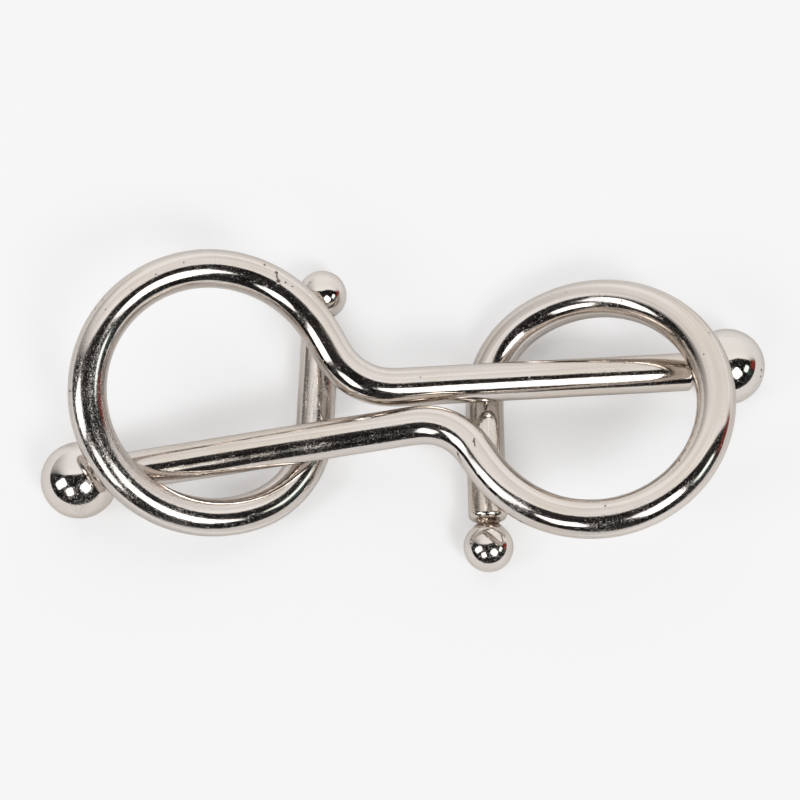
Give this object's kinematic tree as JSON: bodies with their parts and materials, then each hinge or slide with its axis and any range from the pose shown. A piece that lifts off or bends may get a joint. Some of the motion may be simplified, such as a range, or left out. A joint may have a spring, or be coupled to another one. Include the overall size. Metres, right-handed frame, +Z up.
{
  "type": "wire disentanglement puzzle",
  "caption": "Linked plated bent-rod hooks, each with a ring, an S-bend and a crossbar, tipped with a large and a small welded ball; worked apart by hand.",
  "frame": {"origin": "middle of the footprint, on the surface that the puzzle lies on", "axes": "+X along the puzzle's length, towards the large ball of hook A; +Y across it, towards the small ball of hook A; +Z up"},
  "size_m": [0.0754, 0.0322, 0.015],
  "materials": {
    "plated_rod": "worn bright nickel plate on steel bar, with fine scratches and pits",
    "plated_ball": "polished nickel plate on a steel ball, lightly scuffed",
    "weld_neck": "plated weld, duller and slightly pitted"
  },
  "bodies": {
    "hook_a": {"bent_rod_a": "plated_rod", "large_ball_a": "plated_ball", "large_weld_neck_a": "weld_neck", "small_ball_a": "plated_ball", "small_weld_neck_a": "weld_neck"},
    "hook_b_large_ball": {"large_ball_b": "plated_ball"},
    "hook_b": {"bent_rod_b": "plated_rod", "large_weld_neck_b": "weld_neck", "small_ball_b": "plated_ball", "small_weld_neck_b": "weld_neck"}
  },
  "joints": [
    {"name": "hook_slide", "type": "slide", "parent": "hook_a", "child": "hook_b_large_ball", "axis": [-0.9955, -0.06, -0.073], "range_m": [0, 0.0085]},
    {"name": "hook_roll", "type": "hinge", "parent": "hook_b_large_ball", "child": "hook_b", "pos_m": [-0.03373, -0.00676, 0.00398], "axis": [0.9785, 0.1609, 0.1289], "range_deg": [-5, 42]}
  ]
}
